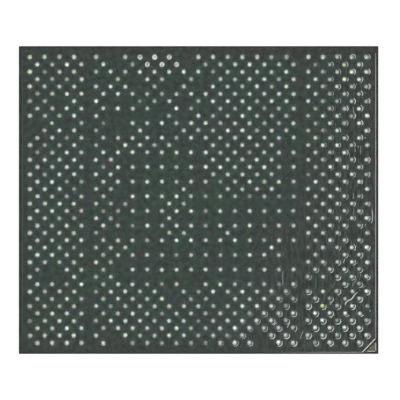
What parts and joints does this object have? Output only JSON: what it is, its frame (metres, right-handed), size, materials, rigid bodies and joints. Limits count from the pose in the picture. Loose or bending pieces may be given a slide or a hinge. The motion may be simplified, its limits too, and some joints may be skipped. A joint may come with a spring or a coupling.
{
  "type": "bga chip",
  "caption": "Flat rectangular moulded chip package with a staggered field of solder balls on one face, soldered to a circuit board as its processor or controller.",
  "frame": {"origin": "centre of the mould cap's outer face, which the part rests on with its balls up", "axes": "+Z from the cap's face to the ball tips; +X along the package's longer side; corner A1, with the bare copper mark, is at +X, -Y"},
  "size_m": [0.0138, 0.012, 0.0009],
  "materials": {
    "solder_mask": "semi-gloss dark grey-green solder mask, tinted greener where no balls stand",
    "solder_ball": "satin tin-silver solder, some balls duller or yellowish",
    "mark_copper": "dull plated copper with an olive cast",
    "copper": "etched copper foil, sealed in the laminate",
    "prepreg": "glass cloth in olive resin, sawn at the edge",
    "core_laminate": "glass-epoxy core, sawn at the edge",
    "die_side_mask": "dark green solder mask, sawn at the edge",
    "underfill": "filled dark epoxy, sealed under the cap",
    "solder": "small solder caps, sealed under the cap",
    "silicon": "ground silicon, sealed under the cap",
    "mold_compound": "black filled epoxy mould compound, matt with fine grain, sawn on its sides"
  },
  "bodies": {
    "root": {"ball_side_mask": "solder_mask", "a1_mark": "mark_copper", "ball_lands": "copper", "via_pads": "copper", "ground_vias": "copper", "power_vias": "copper", "ball_side_prepreg": "prepreg", "power_plane": "copper", "core": "core_laminate", "ground_plane": "copper", "die_side_prepreg": "prepreg", "die_side_copper": "copper", "die_side_mask": "die_side_mask", "underfill": "underfill", "pillar_caps": "solder", "copper_pillars": "copper", "silicon_die": "silicon", "mold_cap": "mold_compound", "ball_row_a": "solder_ball", "ball_row_b": "solder_ball", "ball_row_c": "solder_ball", "ball_row_d": "solder_ball", "ball_row_e": "solder_ball", "ball_row_f": "solder_ball", "ball_row_g": "solder_ball", "ball_row_h": "solder_ball", "ball_row_j": "solder_ball", "ball_row_k": "solder_ball", "ball_row_l": "solder_ball", "ball_row_m": "solder_ball", "ball_row_n": "solder_ball", "ball_row_p": "solder_ball", "ball_row_r": "solder_ball", "ball_row_t": "solder_ball", "ball_row_u": "solder_ball", "ball_row_v": "solder_ball", "ball_row_w": "solder_ball", "ball_row_y": "solder_ball", "ball_row_aa": "solder_ball", "ball_row_ab": "solder_ball", "ball_row_ac": "solder_ball", "ball_row_ad": "solder_ball", "ball_row_ae": "solder_ball", "ball_row_af": "solder_ball", "ball_row_ag": "solder_ball", "ball_row_ah": "solder_ball", "ball_row_aj": "solder_ball", "ball_row_ak": "solder_ball", "ball_row_al": "solder_ball", "ball_row_am": "solder_ball", "ball_row_an": "solder_ball", "ball_row_ap": "solder_ball", "ball_row_ar": "solder_ball", "ball_row_at": "solder_ball", "ball_row_au": "solder_ball", "ball_row_av": "solder_ball", "ball_row_aw": "solder_ball", "ball_row_ay": "solder_ball"}
  },
  "joints": []
}
